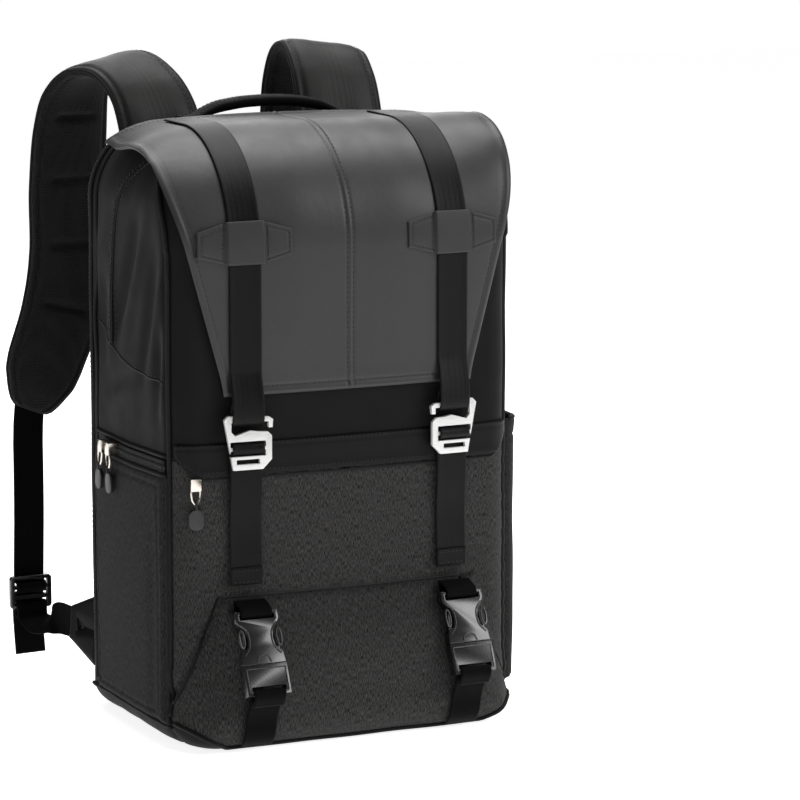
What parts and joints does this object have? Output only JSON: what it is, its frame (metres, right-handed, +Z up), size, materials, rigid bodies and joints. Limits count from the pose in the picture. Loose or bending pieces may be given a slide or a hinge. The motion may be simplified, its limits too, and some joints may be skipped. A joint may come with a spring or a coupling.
{
  "type": "camera backpack",
  "caption": "Flap-top camera backpack with two strap-and-buckle closures, a zipped side access door, a slip pocket and padded shoulder straps.",
  "frame": {"origin": "middle of the flat underside the bag stands on", "axes": "+Z up, -Y the front with the buckles, +Y the wearer's back and the shoulder straps, -X the side with the access door"},
  "size_m": [0.3319, 0.3343, 0.5048],
  "materials": {
    "twill": "fine dark twill with a soft sheen",
    "coated_twill": "coated twill, satin",
    "heather_cloth": "dark grey heather weave, matt",
    "webbing": "ribbed woven webbing, satin",
    "leather": "smooth dark grey grain, satin",
    "alloy": "bright satin plating",
    "steel": "polished nickel",
    "rubber": "matt moulded rubber",
    "gloss_plastic": "glossy black acetal",
    "spacer_mesh": "black spacer mesh, matt"
  },
  "bodies": {
    "root": {"access_door": "heather_cloth", "adjusting_webbing_left": "webbing", "adjusting_webbing_right": "webbing", "back_board": "spacer_mesh", "back_pad_lower": "spacer_mesh", "back_pad_upper": "spacer_mesh", "back_zip": "webbing", "base_panel": "twill", "base_webbing_left": "webbing", "base_webbing_right": "webbing", "buckle_clip_left": "gloss_plastic", "buckle_clip_right": "gloss_plastic", "buckle_socket_left": "gloss_plastic", "buckle_socket_right": "gloss_plastic", "carry_handle": "webbing", "d_ring_left": "steel", "d_ring_right": "steel", "d_ring_tab_left": "webbing", "d_ring_tab_right": "webbing", "door_zip_front_puller": "rubber", "door_zip_front_slider": "steel", "door_zip_rear_puller": "rubber", "door_zip_rear_slider": "steel", "door_zip_tape": "webbing", "flap": "coated_twill", "flap_webbing_left": "webbing", "flap_webbing_right": "webbing", "front_band": "webbing", "front_panel_lower": "heather_cloth", "front_panel_upper": "twill", "harness_webbing_left": "webbing", "harness_webbing_right": "webbing", "harness_wing_left": "twill", "harness_wing_right": "twill", "hook_buckle_left": "alloy", "hook_buckle_right": "alloy", "ladder_lock_left": "gloss_plastic", "ladder_lock_right": "gloss_plastic", "lock_webbing_left": "webbing", "lock_webbing_right": "webbing", "piping_left": "webbing", "piping_right": "webbing", "pocket_zip_puller": "rubber", "pocket_zip_slider": "steel", "shoulder_strap_left": "spacer_mesh", "shoulder_strap_right": "spacer_mesh", "side_panel_left": "twill", "side_panel_right": "twill", "side_panel_right_lower": "heather_cloth", "slip_pocket": "heather_cloth", "socket_webbing_left": "webbing", "socket_webbing_right": "webbing", "sternum_clip": "gloss_plastic", "sternum_socket": "gloss_plastic", "sternum_webbing_left": "webbing", "sternum_webbing_right": "webbing", "strap_keeper_left": "leather", "strap_keeper_right": "leather", "trolley_sleeve": "twill", "zip_gusset": "twill"}
  },
  "joints": []
}
